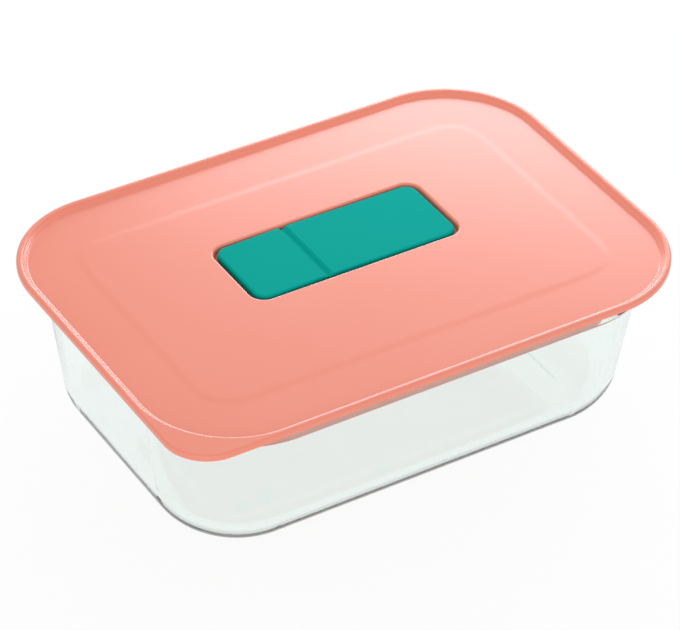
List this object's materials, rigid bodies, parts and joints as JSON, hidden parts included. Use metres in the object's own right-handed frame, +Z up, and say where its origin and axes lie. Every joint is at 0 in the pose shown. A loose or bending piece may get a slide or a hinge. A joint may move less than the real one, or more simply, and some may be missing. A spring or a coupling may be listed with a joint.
{
  "type": "glass storage container",
  "caption": "Rectangular clear glass food dish with a press-on moulded lid that has a lifting corner lip and a fold-up vent tab in a recess.",
  "frame": {"origin": "centre of the face that the dish stands on", "axes": "+Z up, +X along the long side, towards the lifting end of the vent tab, +Y across, away from the corner lip"},
  "size_m": [0.205, 0.144, 0.063],
  "materials": {
    "clear_glass": "clear, pressed and polished",
    "coral_plastic": "semi-gloss moulded",
    "teal_plastic": "satin moulded"
  },
  "bodies": {
    "dish": {"glass_dish": "clear_glass"},
    "lid": {"lid": "coral_plastic", "vent_tab_base": "teal_plastic", "vent_hinge_web": "teal_plastic"},
    "flap": {"vent_flap": "teal_plastic"}
  },
  "joints": [
    {"name": "lid_lift", "type": "slide", "parent": "dish", "child": "lid", "axis": [0, 0, 1], "range_m": [0, 0.08]},
    {"name": "flap_fold", "type": "hinge", "parent": "lid", "child": "flap", "pos_m": [-0.01025, 0.0095, 0.0603], "axis": [0, -1, 0], "range_deg": [0, 78], "deforming": ["vent_hinge_web"]}
  ]
}
